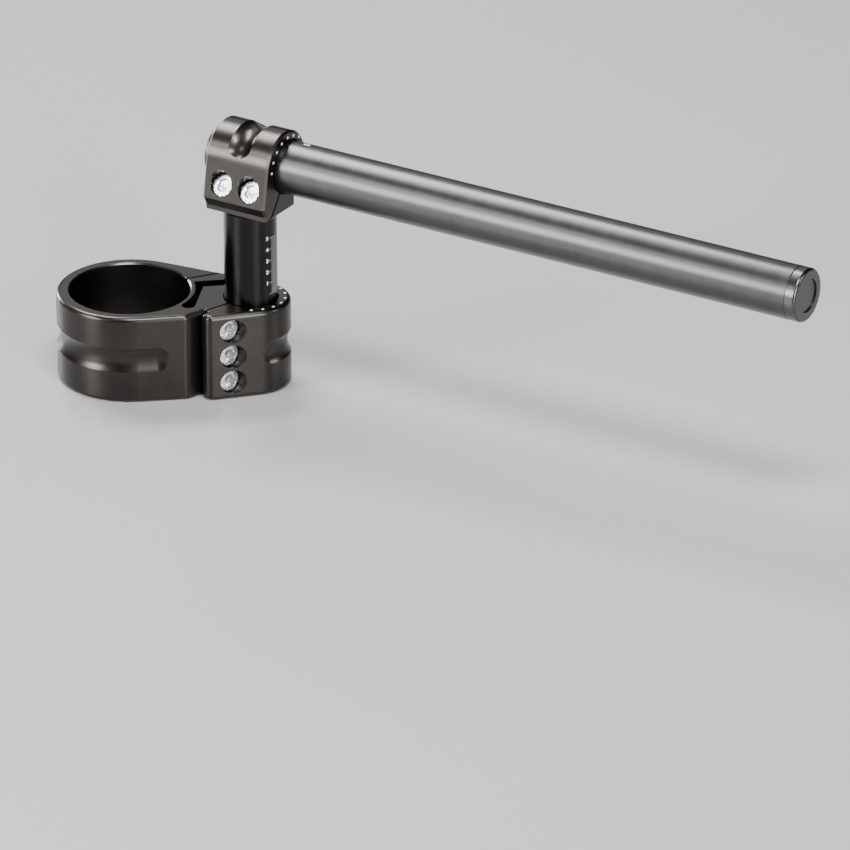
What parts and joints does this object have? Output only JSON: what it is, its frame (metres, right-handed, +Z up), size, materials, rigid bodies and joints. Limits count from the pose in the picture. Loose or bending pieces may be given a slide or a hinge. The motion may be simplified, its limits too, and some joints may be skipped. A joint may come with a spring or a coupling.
{
  "type": "clip-on handlebar",
  "caption": "Motorcycle clip-on handlebar: a split fork clamp, a sliding riser post with a height scale, and a pinch clamp that holds a straight, capped bar tube.",
  "frame": {"origin": "on the fork tube's axis, halfway up the fork clamp", "axes": "+Z up along the fork tube, +X from the fork tube to the riser post, +Y to the clamp's back"},
  "size_m": [0.3239, 0.1348, 0.1129],
  "materials": {
    "clamp_anodised": "satin, dark grey anodised",
    "post_anodised": "gloss, black anodised",
    "bar_satin": "satin, grey anodised over fine turning lines",
    "cap_polished": "turned, semi-gloss",
    "screw_zinc": "bright zinc",
    "bolt_steel": "black oxide"
  },
  "bodies": {
    "clamp": {"fork_clamp": "clamp_anodised", "riser_screw_1": "screw_zinc", "riser_screw_2": "screw_zinc", "riser_screw_3": "screw_zinc", "fork_screw_1": "screw_zinc", "fork_screw_2": "screw_zinc", "fork_screw_3": "screw_zinc"},
    "riser": {"riser_post": "post_anodised"},
    "bar_head": {"bar_clamp": "clamp_anodised", "bar_screw_1": "screw_zinc", "bar_screw_2": "screw_zinc", "head_bolt": "bolt_steel"},
    "bar": {"handlebar_tube": "bar_satin", "bar_end_cap": "cap_polished"}
  },
  "joints": [
    {"name": "riser_height", "type": "slide", "parent": "clamp", "child": "riser", "axis": [0, 0, 1], "range_m": [-0.029, 0]},
    {"name": "bar_swivel", "type": "hinge", "parent": "riser", "child": "bar_head", "pos_m": [0.0506, 0, 0.059], "axis": [0, 0, 1], "range_deg": [-57, 103]},
    {"name": "bar_roll", "type": "hinge", "parent": "bar_head", "child": "bar", "pos_m": [0.0531, 0.00589, 0.078], "axis": [0.9205, -0.3907, 0], "continuous": true}
  ]
}
